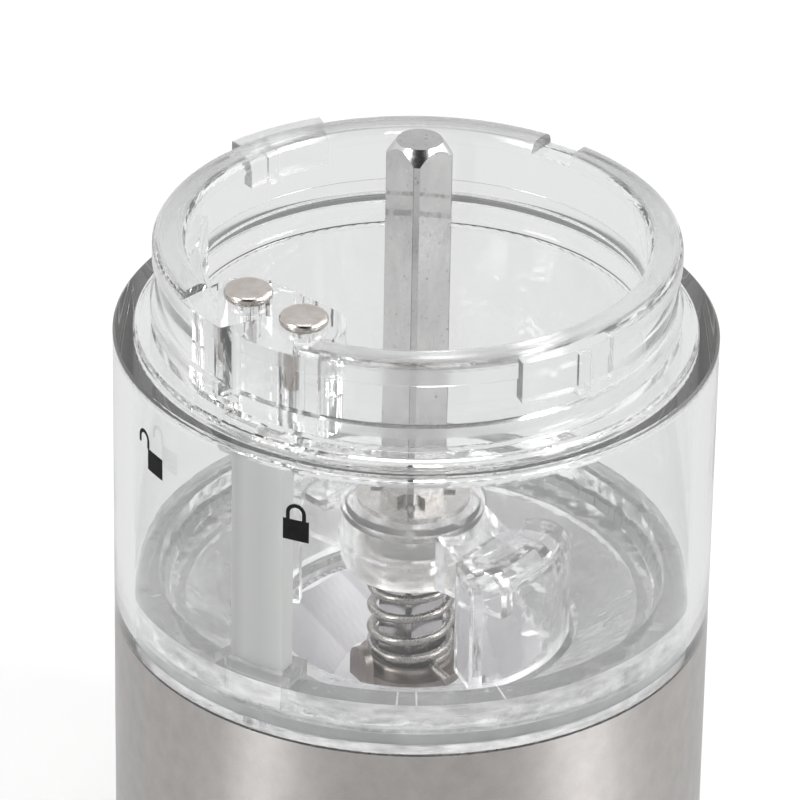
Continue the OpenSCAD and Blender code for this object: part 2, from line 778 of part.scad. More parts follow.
module wire_channel()
    color([0.72, 0.74, 0.74])
        difference() {
            union() {
                ring_piece(channel_in_r, channel_out_r, channel_angle, 2 * channel_half,
                           funnel_top - foot_depth, channel_top);
                ring_piece(tongue_in_r, tongue_out_r, tongue_angle, tongue_span, channel_top - 1, tongue_top);
            }
            ring_piece(channel_in_r + channel_t, channel_out_r - channel_t, channel_angle,
                       2 * channel_hollow_half, funnel_top - foot_depth - 1, channel_top - 1.6);
            ring_piece(channel_in_r - 1, channel_in_r + channel_t + 0.2, channel_angle,
                       channel_hollow_half + channel_half, channel_top - 1.6 - channel_window, channel_top - 1.6);
        }

module contact_pin(side)
    color(nickel)
        rotate([0, 0, boss_angle])
            translate([pin_out, side * pin_pitch / 2, 0])
                rotate_extrude($fn = 48)
                    polygon(concat(
                        [[0, pin_low], [pin_shank_d / 2 - 0.3, pin_low], [pin_shank_d / 2, pin_low + 0.3],
                         [pin_shank_d / 2, boss_top], [pin_head_d / 2 - 0.4, boss_top]],
                        arc(pin_head_d / 2 - 0.5, boss_top + 0.5, 0.5, -60, 0, 3),
                        arc(pin_head_d / 2 - 0.5, boss_top + pin_head_t - 0.5, 0.5, 0, 90, 4),
                        [[0, boss_top + pin_head_t]]));

module contact_pin_left() contact_pin(-1);
module contact_pin_right() contact_pin(1);

// Points round a bend between two straight runs, from one heading to the next
function bend(corner, before, after, r) =
    let (a = unit(before - corner), b = unit(after - corner))
    [for (t = [0 : 0.25 : 1]) corner + r * (pow(1 - t, 2) * a + pow(t, 2) * b)];

// A lead from the foot of its pin, over to the channel and down to the board
module lead(side, tint) {
    from = boss_angle + side * asin(pin_pitch / 2 / pin_r);
    to = channel_angle + side * lead_half;
    start = [pin_r * cos(from), pin_r * sin(from), 0];
    drop = [lead_r * cos(to), lead_r * sin(to), 0];
    entry = channel_top - 1.6 - channel_window / 2;
    high = start + [0, 0, entry + 1];
    low = drop + [0, 0, entry - 0.8];
    first = start + [0, 0, pin_low];
    last = drop + [0, 0, board_top];
    path = concat([first], bend(high, first, low, lead_bend), bend(low, high, last, lead_bend), [last]);
    color(tint)
        tube_along(path, lead_d / 2, 8, unit(cross(drop - start, [0, 0, 1])));
}

module lead_left() lead(-1, [0.8, 0.8, 0.78]);
module lead_right() lead(1, [0.66, 0.66, 0.67]);

module led_board()
    color([0.16, 0.35, 0.2])
        difference() {
            ring_piece(board_in_r, board_out_r, channel_angle, 2 * board_half, board_low, board_top);
            led_place()
                for (side = [-1, 1])
                    translate([0, side * led_leg_pitch / 2, board_low - 1])
                        cylinder(d = 0.8, h = board_t + 2, $fn = 16);
        }

// The lamp hangs under the board with its dome pointing down through the floor
module led_lamp()
    color([0.95, 0.95, 0.88])
        led_place() {
            dome_r = led_d / 2;
            dome_z = lamp_recess + dome_r;
            translate([0, 0, dome_z])
                cylinder(r = dome_r, h = board_low - dome_z);
            translate([0, 0, dome_z])
                sphere(r = dome_r);
            for (side = [-1, 1])
                translate([0, side * led_leg_pitch / 2, board_low - 0.5])
                    cylinder(d = 0.6, h = board_t + 1.2, $fn = 16);
        }

// ---------- shaft group ----------

// Square bar with turned corners, a turned cone at the top and a threaded lower end
module drive_shaft()
    color(bright_steel) {
        intersection() {
            square_hole(square_low, shaft_top, 0);
            rotate_extrude()
                polygon([[0, square_low], [shaft_corner_d / 2 + 1, square_low],
                         [shaft_corner_d / 2 + 1, shaft_top - shaft_cone_h * (1 + 1 / shaft_cone_in)],
                         [shaft_corner_d / 2 - shaft_cone_in, shaft_top], [0, shaft_top]]);
        }
        translate([0, 0, shaft_low])
            cylinder(r = thread_r, h = square_low - shaft_low + 0.5);
    }

// Push-on washer: a disc with four prongs that grip the shaft's sides, slotted at its corners
module retaining_washer()
    color(nickel)
        difference() {
            union() {
                translate([0, 0, hub_top])
                    cylinder(d = clip_d, h = clip_t);
                for (i = [0 : 3])
                    rotate([0, 0, 90 * i + shaft_turn])
                        translate([-1.1, shaft_side / 2, hub_top + clip_t - 0.1])
                            cube([2.2, 0.6, 0.9]);
            }
            square_hole(hub_top - 1, hub_top + 3, 0);
            for (i = [0 : 3])
                rotate([0, 0, 90 * i + 45 + shaft_turn])
                    translate([shaft_corner_d / 2 - 0.3, -0.5, hub_top - 1])
                        cube([1.3, 1, 4]);
        }

// The spring's upper seat: a washer under the guide, turned up into a cup that stands in the hub's hollow
module spring_washer() {
    wall_in = guide_r + bearing_wall + 0.35;
    wall_out = wall_in + spring_washer_t;
    plate_top = hub_low - 0.05;
    color(bright_steel)
        difference() {
            rotate_extrude()
                polygon(concat(
                    [[0, spring_top]], arc(wall_out - 0.5, spring_top + 0.5, 0.5, -90, 0, 4),
                    [[wall_out, spring_top + spring_cup_h], [wall_in, spring_top + spring_cup_h],
                     [wall_in, plate_top], [0, plate_top]]));
            square_hole(spring_top - 1, hub_low + 1);
        }
}

// ---------- spring ----------

// Height of the wire's centre after a number of turns: closed at both ends, open between
function spring_height(t) =
    let (low = stirrer_top + seat_bead_h + wire_flat, high = spring_top - wire_flat,
         closed = closed_turns * wire_d * 1.12,
         open = (high - low - 2 * closed) / spring_turns)
    t < closed_turns ? low + closed * t / closed_turns
    : t > total_turns - closed_turns ? high - closed * (total_turns - t) / closed_turns
    : low + closed + open * (t - closed_turns);

function spring_point(t) =
    [spring_r * cos(360 * t + tail_angle), spring_r * sin(360 * t + tail_angle), spring_height(t)];

coil_path = [for (i = [0 : ring_count]) spring_point(total_turns * i / ring_count)];

// The lower end turns outwards in a small arc and runs straight; the upper end runs straight on
tail_out = [cos(tail_angle), sin(tail_angle), 0];
tail_back = [sin(tail_angle), -cos(tail_angle), 0];
tail_path = concat(
    [coil_path[0] + (tail_bend + tail_length) * tail_out + tail_bend * tail_back],
    [for (a = [90 : -30 : 30]) coil_path[0] + tail_bend * ((1 - cos(a)) * tail_out + sin(a) * tail_back)]);
top_turn = 360 * total_turns + tail_angle;
spring_path = concat(tail_path, coil_path,
                     [coil_path[ring_count] + wire_d * [-sin(top_turn), cos(top_turn), 0]]);

// A closed tube along a path, each ring square to it, with one side kept towards a fixed direction
function unit(v) = v / norm(v);
function heading(path, i) = unit(path[min(i + 1, len(path) - 1)] - path[max(i - 1, 0)]);
function ring_at(path, i, r, sides, up) =
    let (ahead = heading(path, i), side = unit(cross(up, ahead)), top = cross(ahead, side))
    [for (k = [0 : sides - 1]) path[i] + r * (cos(360 * k / sides) * side + sin(360 * k / sides) * top)];

module tube_along(path, r, sides, up = [0, 0, 1]) {
    last = (len(path) - 1) * sides;
    points = [for (i = [0 : len(path) - 1]) each ring_at(path, i, r, sides, up)];
    skin = [for (i = [0 : len(path) - 2]) for (k = [0 : sides - 1])
        let (a = i * sides + k, b = i * sides + (k + 1) % sides)
        each [[a, b, a + sides], [b, b + sides, a + sides]]];
    ends = [for (k = [1 : sides - 2]) each [[0, k + 1, k], [last, last + k, last + k + 1]]];
    polyhedron(points, concat(skin, ends));
}

// Least gap between the wire's own turns, measured on points of its centre line
spring_gap = min([for (i = [0 : ring_count - spring_rings + 2], j = [i + spring_rings - 2 : ring_count])
    norm(coil_path[i] - coil_path[j])]) - wire_d;
echo(spring_gap = spring_gap);

module spring()
    color(spring_steel)
        tube_along(spring_path, wire_d / 2, wire_sides);

// ---------- rotor group ----------

// Pressed steel seat for the spring, with two upturned wings that stir the corns
module stirrer()
    color([0.45, 0.41, 0.38])
        difference() {
            union() {
                translate([0, 0, rotor_top])
                    cylinder(d = stirrer_d, h = stirrer_t);
                // The bead that carries the spring's lower end
                rotate_extrude()
                    polygon(concat(
                        [[spring_r - wire_d / 2, stirrer_top - 0.1], [spring_r + wire_d / 2, stirrer_top - 0.1]],
                        arc(spring_r, stirrer_top + seat_bead_h - wire_d / 2, wire_d / 2, 0, 180, 8)));
                for (turn = [wing_turn, wing_turn + 180])
                    rotate([0, 0, turn]) {
                        translate([stirrer_d / 2 - 1.5, -wing_w / 2, rotor_top])
                            cube([2.1, wing_w, stirrer_t]);
                        translate([stirrer_d / 2 - 0.2, 0, rotor_top + wing_h])
                            rotate([0, 90, 0])
                                intersection() {
                                    cylinder(d = wing_w, h = 0.8, $fn = 48);
                                    translate([-wing_w, -wing_w, 0])
                                        cube([wing_w + 0.01, 2 * wing_w, 0.8]);
                                }
                        translate([stirrer_d / 2 - 0.2, -wing_w / 2, rotor_top])
                            cube([0.8, wing_w, wing_h]);
                    }
            }
            square_hole(rotor_top - 1, stirrer_top + 1);
        }

module knob_washer()
    color(bright_steel)
        tube(nut_d / 2 + 1.5, thread_r + 0.2, knob_top, rotor_low);

module adjusting_knob()
    color([0.16, 0.16, 0.17])
        difference() {
            rotate_extrude()
                polygon([[0, knob_low], [knob_d / 2 - 1, knob_low], [knob_d / 2, knob_low + 1],
                         [knob_d / 2, knob_top - 2], [knob_d / 2 - 2, knob_top], [0, knob_top]]);
            for (i = [0 : knob_flutes - 1])
                rotate([0, 0, 360 * i / knob_flutes])
                    translate([knob_d / 2 + 0.2, 0, knob_low - 1])
                        cylinder(d = 1.8, h = knob_h + 2, $fn = 24);
            // A coin slot across the lower face
            translate([-knob_d / 2, -0.8, knob_low - 1])
                cube([knob_d / 2 - thread_r - 1, 1.6, 1.8]);
            translate([thread_r + 1, -0.8, knob_low - 1])
                cube([knob_d / 2, 1.6, 1.8]);
            translate([0, 0, knob_low + 1.6])
                cylinder(d = nut_d, h = knob_h);
            translate([0, 0, knob_low - 1])
                cylinder(r = thread_r + running_gap, h = knob_h);
        }

module knob_nut()
    color([0.78, 0.62, 0.3])
        difference() {
            translate([0, 0, knob_low + 1.6])
                cylinder(d = nut_d, h = knob_h - 1.6);
            translate([0, 0, knob_low])
                cylinder(r = thread_r + running_gap, h = knob_h + 1);
        }

chamber();
steel_sleeve();
base_ring();
base_screws();
funnel();
seal_ring();
mill_bridge();
outer_burr();
burr_retainer();
retainer_screws();
wire_channel();
contact_pin_left();
contact_pin_right();
lead_left();
lead_right();
led_board();
led_lamp();
drive_shaft();
retaining_washer();
spring_washer();
spring();
stirrer();
inner_burr();
knob_washer();
adjusting_knob();
knob_nut();
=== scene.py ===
"""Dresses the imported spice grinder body: materials, signs, a pale floor and studio light.

Metres, +Z up.
"""

import math

import bmesh
import bpy
from mathutils import Matrix, Vector


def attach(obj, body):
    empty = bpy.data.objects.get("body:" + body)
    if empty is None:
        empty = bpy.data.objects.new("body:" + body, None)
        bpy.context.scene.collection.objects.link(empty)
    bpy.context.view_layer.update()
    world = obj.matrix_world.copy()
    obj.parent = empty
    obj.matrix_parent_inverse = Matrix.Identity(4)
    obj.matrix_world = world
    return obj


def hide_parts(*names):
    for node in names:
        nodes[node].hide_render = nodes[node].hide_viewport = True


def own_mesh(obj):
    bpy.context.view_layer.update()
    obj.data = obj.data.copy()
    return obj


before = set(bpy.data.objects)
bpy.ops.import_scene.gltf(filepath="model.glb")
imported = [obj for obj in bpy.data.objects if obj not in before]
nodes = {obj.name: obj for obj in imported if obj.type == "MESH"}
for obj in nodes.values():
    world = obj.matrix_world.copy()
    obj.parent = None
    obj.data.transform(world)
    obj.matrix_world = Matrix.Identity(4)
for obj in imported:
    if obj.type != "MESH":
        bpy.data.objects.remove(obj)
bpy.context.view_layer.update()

MM = 0.001
SHOULDER = 0.068
BODY_R = 0.030
# The neck's top and outer radius, where its lugs end below, and the radius within which only
# the boss of the contact pins stands
NECK_TOP = 78.2 * MM
NECK_R = 25.8 * MM
LUGS_LOW = NECK_TOP - 8.2 * MM
BOSS_R = 22.4 * MM
# The funnel's rim: its height, its radius, and the directions of the painted glints on it
RIM_TOP = 41.7 * MM
RIM_R = 27.9 * MM
RIM_GLINTS = (-92.5, -88.6, -71.0)
# The bridge's hub
HUB_R = 8 * MM
# The square bar: its top, the radius of its turned corners, the direction of one of them in
# degrees, and how far beside it the corner's line lies
BAR_TOP = 88.6 * MM
CORNER_R = 3.2 * MM
CORNER_TURN = -94
LINE_TURN = 5.4
# Darker bands round the bar, each with its middle and half its height, and their tilt in X and Y
DARK_BANDS = ((82.48 * MM, 0.3 * MM), (80.33 * MM, 0.42 * MM))
BAND_TILT = (0.06, 0.559)
# Directions of the channel's two sides in radians, and the grey levels of its painted shading from
# one to the other
CHANNEL_SIDES = (math.radians(-129.4), math.radians(-116.6))
CHANNEL_SHADING = [(0.0, 0.5), (0.12, 0.4), (0.3, 0.5), (0.6, 0.49), (0.85, 0.56), (1.0, 0.62)]

# ---------- camera ----------

CAMERA_PLACE = Vector((0.0, -0.56887, 0.31446 + SHOULDER))
YAW, PITCH, ROLL = -0.0026176, 0.5164557, 0.0171578
LENS = 296.04


def make_camera():
    forward = Vector(
        (math.sin(YAW) * math.cos(PITCH), math.cos(YAW) * math.cos(PITCH), -math.sin(PITCH))
    )
    right = Vector((math.cos(YAW), -math.sin(YAW), 0))
    up = right.cross(forward)
    c, s = math.cos(ROLL), math.sin(ROLL)
    right, up = c * right + s * up, c * up - s * right
    data = bpy.data.cameras.new("camera")
    data.lens = LENS
    data.sensor_width = 36
    data.clip_start = 0.05
    data.clip_end = 50
    camera = bpy.data.objects.new("camera", data)
    turn = Matrix((right, up, -forward)).transposed().to_4x4()
    camera.matrix_world = Matrix.Translation(CAMERA_PLACE) @ turn
    bpy.context.scene.collection.objects.link(camera)
    bpy.context.scene.camera = camera


# ---------- node helpers ----------


class Tree:
    """A node tree, with short calls to add and join nodes."""

    def __init__(self, tree):
        self.tree = tree

    def add(self, kind, inputs=None, **settings):
        node = self.tree.nodes.new(kind)
        for key, value in settings.items():
            setattr(node, key, value)
        for key, value in (inputs or {}).items():
            self.put(node.inputs[key], value)
        return node

    def put(self, socket, value):
        if isinstance(value, bpy.types.NodeSocket):
            self.tree.links.new(value, socket)
        else:
            socket.default_value = value

    def maths(self, operation, a, b=0.0):
        return self.add("ShaderNodeMath", {0: a, 1: b}, operation=operation).outputs["Value"]

    def plus(self, a, b):
        return self.maths("ADD", a, b)

    def times(self, a, b):
        return self.maths("MULTIPLY", a, b)

    def rest(self, share):
        """What a share leaves of 1."""
        return self.maths("SUBTRACT", 1.0, share)

    def cosine(self, direction, aim):
        """The cosine between two directions of length 1."""
        node = self.add("ShaderNodeVectorMath", {0: direction, 1: aim}, operation="DOT_PRODUCT")
        return node.outputs["Value"]

    def span(self, value, low, high, start=0.3, end=0.7):
        """Low up to the start, high from the end on, and a straight line between them."""
        node = self.add(
            "ShaderNodeMapRange",
            {"Value": value, "From Min": start, "From Max": end, "To Min": low, "To Max": high},
        )
        return node.outputs["Result"]

    def rise(self, value, start, end):
        """0 up to the start, 1 from the end on."""
        return self.span(value, 0.0, 1.0, start, end)

    def fall(self, value, start, end):
        """1 up to the start, 0 from the end on."""
        return self.span(value, 1.0, 0.0, start, end)

    def ramp(self, value, stops):
        """A colour ramp with a colour at each of its places."""
        node = self.add("ShaderNodeValToRGB", {"Fac": value})
        elements = node.color_ramp.elements
        while len(elements) < len(stops):
            elements.new(0.5)
        for element, (place, colour) in zip(elements, stops):
            element.position, element.color = place, (*colour, 1)
        return node.outputs["Color"]

    def by_ray(self, shown, looks):
        """A shader that gives way to others for some kinds of ray."""
        for ray, shader in looks:
            path = self.add("ShaderNodeLightPath")
            mix = self.add("ShaderNodeMixShader", {0: path.outputs[ray], 1: shown, 2: shader})
            shown = mix.outputs["Shader"]
        return shown


class Look(Tree):
    """A material's node tree."""

    def __init__(self, name):
        self.mat = bpy.data.materials.new(name)
        self.mat.use_nodes = True
        super().__init__(self.mat.node_tree)
        self.shader = self.tree.nodes["Principled BSDF"]

    def set(self, **inputs):
        for key, value in inputs.items():
            self.put(self.shader.inputs[key.replace("_", " ")], value)

    def show(self, shader):
        self.put(self.tree.nodes["Material Output"].inputs["Surface"], shader)

    def spot(self):
        """Object coordinates in metres."""
        return self.add("ShaderNodeTexCoord").outputs["Object"]

    def place(self, scale=(1, 1, 1)):
        """Object coordinates, stretched."""
        mapped = self.add("ShaderNodeMapping", {"Vector": self.spot(), "Scale": scale})
        return mapped.outputs["Vector"]

    def coords(self):
        """X, Y and Z of the object coordinates."""
        split = self.add("ShaderNodeSeparateXYZ", {"Vector": self.spot()})
        return [split.outputs[axis] for axis in "XYZ"]

    def radius(self, x, y):
        return self.maths("SQRT", self.plus(self.times(x, x), self.times(y, y)))

    def angle(self, x, y):
        return self.maths("ARCTAN2", y, x)

    def around(self, turns, height):
        """Coordinates on a round wall: the angle and the height, each with its own scale."""
        x, y, z = self.coords()
        spots = {"X": self.times(self.angle(x, y), turns), "Y": self.times(z, height)}
        return self.add("ShaderNodeCombineXYZ", spots).outputs["Vector"]

    def noise(self, scale, detail=3, rough=0.5, vector=None):
        node = self.add(
            "ShaderNodeTexNoise", {"Scale": scale, "Detail": detail, "Roughness": rough}
        )
        self.put(node.inputs["Vector"], vector or self.place())
        return node.outputs["Fac"]

    def blend(self, value, one, two):
        return self.ramp(value, [(0.35, one), (0.65, two)])

    def grey(self, level, red=1.0):
        """A colour of one level, but for a share more or less of red."""
        tone = {"Red": self.times(level, red), "Green": level, "Blue": level}
        return self.add("ShaderNodeCombineColor", tone).outputs["Color"]

    def bump(self, height, strength, distance, normal=None):
        node = self.add(
            "ShaderNodeBump", {"Height": height, "Strength": strength, "Distance": distance}
        )
        if normal:
            self.put(node.inputs["Normal"], normal)
        return node.outputs["Normal"]

    def glow(self, strength):
        node = self.add("ShaderNodeEmission", {"Color": (1, 1, 1, 1), "Strength": strength})
        return node.outputs["Emission"]


# ---------- materials ----------

# Painted glow that stands in for the light each skin of a clear moulding scatters, and the share of
# a lamp's that passes it
CLEAR_GLOW = 0.012
CLEAR_PASSED = 0.95
CLEAR_IOR = 1.49
# How rough the haziest spots of a clear skin are
CLEAR_HAZE = 0.03


def clear_look(name, wave, wave_scale, fine=0.0, clear=1.0):
    """Clear moulding: bends light, with flow waves in its skin and a faint painted glow; lamps
    shine through it.
    """
    t = Look(name)
    # Its emission is a faint painted glow, not a lamp
    t.set(
        Transmission_Weight=clear,
        IOR=CLEAR_IOR,
        Emission_Color=(1, 1, 1, 1),
        Emission_Strength=CLEAR_GLOW,
    )
    t.mat.cycles.emission_sampling = "NONE"
    normal = t.bump(t.noise(wave_scale, 2, 0.5), 1.0, wave)
    if fine:
        normal = t.bump(t.noise(wave_scale * 9, 3, 0.6), 1.0, fine, normal)
    t.set(Normal=normal)
    passed = (CLEAR_PASSED, CLEAR_PASSED, CLEAR_PASSED, 1)
    through = t.add("ShaderNodeBsdfTransparent", {"Color": passed}).outputs["BSDF"]
    t.show(t.by_ray(t.shader.outputs["BSDF"], [("Is Shadow Ray", through)]))
    return t


def chamber_plastic(name):
    """The chamber's clear plastic, with marks by place.

    The top of its neck is satin and has painted shade that is greyer at the back, its lip and lugs
    are satin too, and the inner wall of its boss has a little painted shade.
    """
    t = clear_look(name, wave=0.00002, wave_scale=90)
    x, y, z = t.coords()
    radius = t.radius(x, y)
    top = t.rise(z, NECK_TOP - 0.3 * MM, NECK_TOP - 0.15 * MM)
    lugs = t.rise(radius, NECK_R + 0.05 * MM, NECK_R + 0.15 * MM)
    lugs = t.times(lugs, t.rise(z, LUGS_LOW, LUGS_LOW + 0.3 * MM))
    boss = t.fall(radius, BOSS_R, BOSS_R + 0.3 * MM)
    boss = t.times(boss, t.rise(z, SHOULDER, SHOULDER + 2 * MM))
    # Painted shade: grey in the clear colour on the neck's top, more at the back, and on the boss's
    # inner wall
    front_shade, back_shade, boss_shade = 0.12, 0.46, 0.12
    grey = t.times(top, t.span(y, front_shade, back_shade, -8 * MM, 10 * MM))
    grey = t.maths("MAXIMUM", grey, t.times(boss, boss_shade))
    top_satin, lugs_satin = 0.24, 0.17
    satin = t.maths("MAXIMUM", t.times(top, top_satin), t.times(lugs, lugs_satin))
    clear_level, red_share = 0.96, 0.994
    t.set(
        Base_Color=t.grey(t.times(t.rest(grey), clear_level), red_share),
        Roughness=t.plus(satin, t.span(t.noise(270), 0.0, CLEAR_HAZE)),
    )
    return t.mat


def funnel_plastic(name):
    """The funnel's clear plastic: painted shade greys its rim's top, painted glints glow there, and
    a streaky painted glow makes its outer wall milky.
    """
    t = clear_look(name, wave=0.0009, wave_scale=190, fine=0.00003, clear=0.87)
    x, y, z = t.coords()
    top = t.rise(z, RIM_TOP - 0.08 * MM, RIM_TOP - 0.03 * MM)
    side = t.rise(t.radius(x, y), RIM_R - 0.1 * MM, RIM_R - 0.04 * MM)
    side = t.times(side, t.rest(top))
    marks_and_glints = 0.0
    for glint in RIM_GLINTS:
        away = t.maths("ABSOLUTE", t.maths("SUBTRACT", t.angle(x, y), math.radians(glint)))
        marks_and_glints = t.plus(marks_and_glints, t.fall(away, 0.002, 0.004))
    # Painted shade darkens the rim's top, and painted light lightens the outer wall
    clear_level, top_shade, side_light = 0.885, 0.3, 0.1
    level = t.maths("SUBTRACT", clear_level, t.times(top, top_shade))
    level = t.plus(level, t.times(side, side_light))
    # Painted glow: streaky on the outer wall, and in glints on the rim's top
    least_glow, most_glow, glint_glow = 0.03, 0.26, 0.35
    streaks = t.noise(1.0, 3, 0.6, t.around(9, 900))
    glow = t.times(side, t.span(streaks, least_glow, most_glow, 0.35, 0.65))
    glow = t.plus(glow, t.times(t.times(marks_and_glints, top), glint_glow))
    t.set(
        Base_Color=t.grey(level),
        Roughness=t.span(t.noise(570), 0.04, 0.04 + CLEAR_HAZE),
        Emission_Strength=t.plus(glow, CLEAR_GLOW),
    )
    return t.mat


def bridge_plastic(name):
    """The bridge's clear plastic, less glossy in its hub, where a painted glow makes it look a
    little cloudy.
    """
    t = clear_look(name, wave=0.00012, wave_scale=260, fine=0.000008)
    x, y, _ = t.coords()
    hub = t.fall(t.radius(x, y), HUB_R, HUB_R + 1 * MM)
    # Painted glow in the hub, and a painted glow all over that is stronger than on the other clear
    # parts
    hub_satin, hub_glow = 0.12, 0.014
    t.set(
        Base_Color=(0.95, 0.95, 0.95, 1),
        Roughness=t.plus(t.times(hub, hub_satin), t.span(t.noise(780), 0.0, CLEAR_HAZE)),
        Emission_Strength=t.plus(t.times(hub, hub_glow), CLEAR_GLOW * 1.7),
    )
    return t.mat


def brushed_sleeve(name):
    """Steel brushed round the sleeve, with blotches of tone."""
    t = Look(name)
    lines = t.noise(1.0, 4, 0.65, t.around(60, 26000))
    blotch = t.noise(1.0, 4, 0.6, t.around(14, 420))
    worn = t.noise(1.0, 3, 0.5, t.around(3, 60))
    both = t.plus(t.times(lines, 0.5), t.times(blotch, 0.5))
    tangent = t.add("ShaderNodeTangent", direction_type="RADIAL", axis="Z")
    t.set(
        Base_Color=t.blend(both, (0.445, 0.427, 0.415), (0.55, 0.526, 0.509)),
        Metallic=1.0,
        Roughness=t.span(worn, 0.28, 0.34),
        Anisotropic=0.8,
        Anisotropic_Rotation=0.25,
        Tangent=tangent.outputs["Tangent"],
        Normal=t.bump(lines, 0.35, 0.00001),
    )
    return t.mat


def metal(name, one, two, scale, low, high):
    """Bare metal with patches of tone and of gloss, and fine marks."""
    t = Look(name)
    marks_and_glints = t.noise(scale * 7, 4, 0.7)
    t.set(
        Base_Color=t.blend(t.noise(scale, 4, 0.6), one, two),
        Metallic=1.0,
        Roughness=t.span(marks_and_glints, low, high),
        Normal=t.bump(marks_and_glints, 0.4, 0.00002),
    )
    return t.mat


def drawn_bar(name):
    """Drawn square bar: pitted faces, darker corners with a line beside one, two darker bands."""
    t = Look(name)
    x, y, z = t.coords()
    radius = t.radius(x, y)
    corner = t.rise(radius, CORNER_R, CORNER_R + 0.04 * MM)
    side = t.maths("SUBTRACT", t.angle(x, y), math.radians(CORNER_TURN - LINE_TURN))
    line = t.fall(t.maths("PINGPONG", side, math.pi / 4), 0.004, 0.012)
    line = t.times(line, t.rise(radius, CORNER_R - 0.03 * MM, CORNER_R))
    grain = t.noise(380, 4, 0.6, t.place((1, 1, 0.5)))
    pits = t.rise(t.noise(2300, 2, 0.5), 0.68, 0.72)
    tilted = t.plus(z, t.plus(t.times(y, BAND_TILT[1]), t.times(x, BAND_TILT[0])))
    rings = 0.0
    for middle, half in DARK_BANDS:
        away = t.maths("ABSOLUTE", t.maths("SUBTRACT", tilted, middle))
        rings = t.plus(rings, t.fall(away, half * 0.5, half))
    uneven = t.noise(1700, 3, 0.6, t.place((1, 1, 0.15)))
    rings = t.times(rings, t.span(uneven, 0.2, 1.0, 0.38, 0.6))
    rings = t.times(rings, t.rest(corner))
    top = t.rise(z, BAR_TOP - 0.08 * MM, BAR_TOP - 0.04 * MM)
    level = t.span(grain, 0.63, 0.73)
    for mask, drop in ((corner, 0.14), (line, 0.6), (pits, 0.45), (rings, 0.35), (top, 0.33)):
        level = t.times(level, t.rest(t.times(mask, drop)))
    t.set(
        Base_Color=t.grey(level, 1.01),
        Metallic=1.0,
        Roughness=t.span(t.noise(2100, 4, 0.7), 0.15, 0.28),
        Normal=t.bump(grain, 0.4, 0.00002),
    )
    return t.mat


def satin_channel(name):
    """Satin extrusion with painted shading: darker towards its left edge and lighter at its right
    one.
    """
    t = Look(name)
    x, y, _ = t.coords()
    across = t.plus(t.angle(x, y), t.times(t.noise(300, 2), 0.01))
    # Painted shading across the channel: darker at its left edge, lighter at its right
    stops = [(place, (level * 0.99, level, level * 0.985)) for place, level in CHANNEL_SHADING]
    t.set(
        Base_Color=t.ramp(t.rise(across, *CHANNEL_SIDES), stops),
        Roughness=t.span(t.noise(1000), 0.34, 0.46),
        Normal=t.bump(t.noise(2400, 3, 0.6), 0.4, 0.00001),
    )
    return t.mat


def moulded(name, one, two, scale, low, high, grain=0.00003, **more):
    """Plain moulded plastic, ceramic or rubber, with its own grain."""
    t = Look(name)
    t.set(
        Base_Color=t.blend(t.noise(scale, 4), one, two),
        Roughness=t.span(t.noise(scale * 5), low, high),
        Normal=t.bump(t.noise(scale * 12, 3, 0.6), 0.5, grain),
        **more,
    )
    return t.mat


# ---------- meshes ----------

# Edges round a wall that refined splits: the least radius, the greatest difference of radius
# between their ends, and the least and greatest turn between them
ROUND_R = 5.9 * MM
ROUND_GAP = 0.004 * MM
ROUND_TURNS = (math.radians(1.5), math.radians(6))
# Area in square metres up to which a face is a stray one
NO_AREA = 1e-13
# Angles in degrees from which an edge is sharp, on a CAD node and on a piece made here
NODE_SHARP = 32
PIECE_SHARP = 40


def smooth(mesh, angle):
    """Smooth faces, with sharp edges where they meet at more than this angle."""
    for face in mesh.polygons:
        face.use_smooth = True
    mesh.set_sharp_from_angle(angle=math.radians(angle))


def mesh_data(name, mesh):
    data = bpy.data.meshes.new(name)
    mesh.to_mesh(data)
    mesh.free()
    return data


def new_piece(name, data, mat, body):
    data.materials.append(mat)
    smooth(data, PIECE_SHARP)
    piece = bpy.data.objects.new(name, data)
    bpy.context.scene.collection.objects.link(piece)
    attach(piece, body)
    return piece


def dress(names, mat):
    for name in names:
        data = nodes[name].data
        data.materials.clear()
        data.materials.append(mat)
        smooth(data, NODE_SHARP)


def is_round(edge):
    """Whether an edge is one facet of a round wall."""
    one, two = (vert.co.xy for vert in edge.verts)
    if one.length <= ROUND_R or abs(one.length - two.length) >= ROUND_GAP:
        return False
    return ROUND_TURNS[0] < one.angle(two) < ROUND_TURNS[1]


def refined(name, mat):
    """A finer copy of a clear node.

    The facets of its round walls are split and lie on the true curve. Faces without area go.
    """
    mesh = bmesh.new()
    mesh.from_mesh(nodes[name].data)
    for _ in range(2):
        arcs = [edge for edge in mesh.edges if is_round(edge)]
        split = bmesh.ops.bisect_edges(mesh, edges=arcs, cuts=1)["geom_split"]
        for vert in [v for v in split if isinstance(v, bmesh.types.BMVert)]:
            ends = [edge.other_vert(vert).co.xy.length for edge in vert.link_edges]
            vert.co.xy = vert.co.xy.normalized() * (sum(ends) / len(ends))
        bmesh.ops.triangulate(mesh, faces=[face for face in mesh.faces if len(face.verts) > 3])
    slivers = [face for face in mesh.faces if face.calc_area() < NO_AREA]
    bmesh.ops.delete(mesh, geom=slivers, context="FACES")
    piece = new_piece(name + "_clear", mesh_data(name + "_clear", mesh), mat, "housing")
    normals = piece.modifiers.new("even_normals", "WEIGHTED_NORMAL")
    normals.keep_sharp = True
    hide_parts(name)


